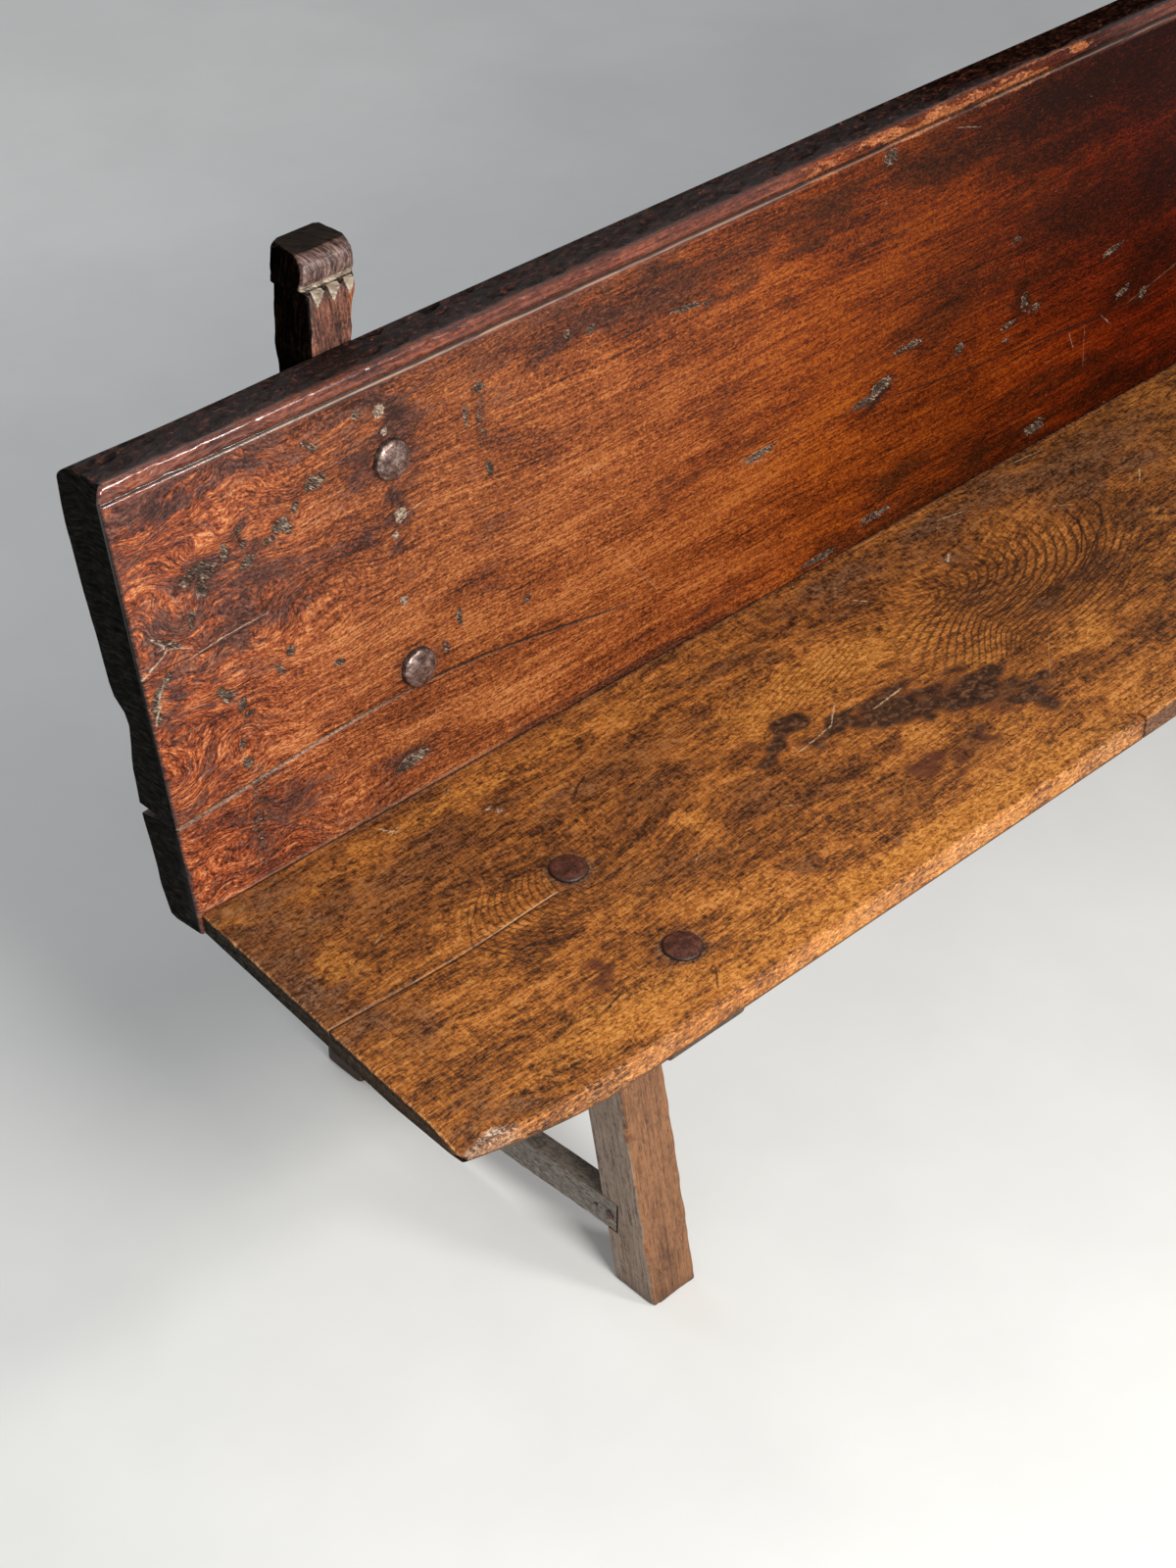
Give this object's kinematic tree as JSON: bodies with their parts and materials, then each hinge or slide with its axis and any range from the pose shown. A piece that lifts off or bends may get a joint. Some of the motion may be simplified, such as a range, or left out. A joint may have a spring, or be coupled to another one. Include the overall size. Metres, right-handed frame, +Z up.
{
  "type": "bench",
  "caption": "Plank bench with a one-board seat and a leaning one-board back, carried on splayed end frames whose rear posts rise to carved heads.",
  "frame": {"origin": "on the floor at the middle of the bench's footprint", "axes": "+X along the length of the bench, +Y from the seat's front edge toward the back, +Z up"},
  "size_m": [2.0996, 0.5938, 0.9872],
  "materials": {
    "seat_walnut": "waxed and worn",
    "patch_walnut": "waxed and worn",
    "back_walnut": "glossy old wax",
    "frame_walnut": "dull and weathered",
    "forged_iron": "dark brown oxide",
    "peg_wood": "dull"
  },
  "bodies": {
    "root": {"seat_board": "seat_walnut", "seat_edge_patch": "patch_walnut", "back_board": "back_walnut", "left_rear_post": "frame_walnut", "left_front_leg": "frame_walnut", "left_seat_bearer": "frame_walnut", "left_side_stretcher": "frame_walnut", "left_back_nails": "forged_iron", "left_seat_nails": "forged_iron", "left_front_stretcher_nail": "forged_iron", "left_rear_stretcher_nail": "forged_iron", "left_bearer_peg": "peg_wood", "left_leg_peg": "peg_wood", "right_rear_post": "frame_walnut", "right_front_leg": "frame_walnut", "right_seat_bearer": "frame_walnut", "right_side_stretcher": "frame_walnut", "right_back_nails": "forged_iron", "right_seat_nails": "forged_iron", "right_front_stretcher_nail": "forged_iron", "right_rear_stretcher_nail": "forged_iron", "right_bearer_peg": "peg_wood", "right_leg_peg": "peg_wood"}
  },
  "joints": []
}
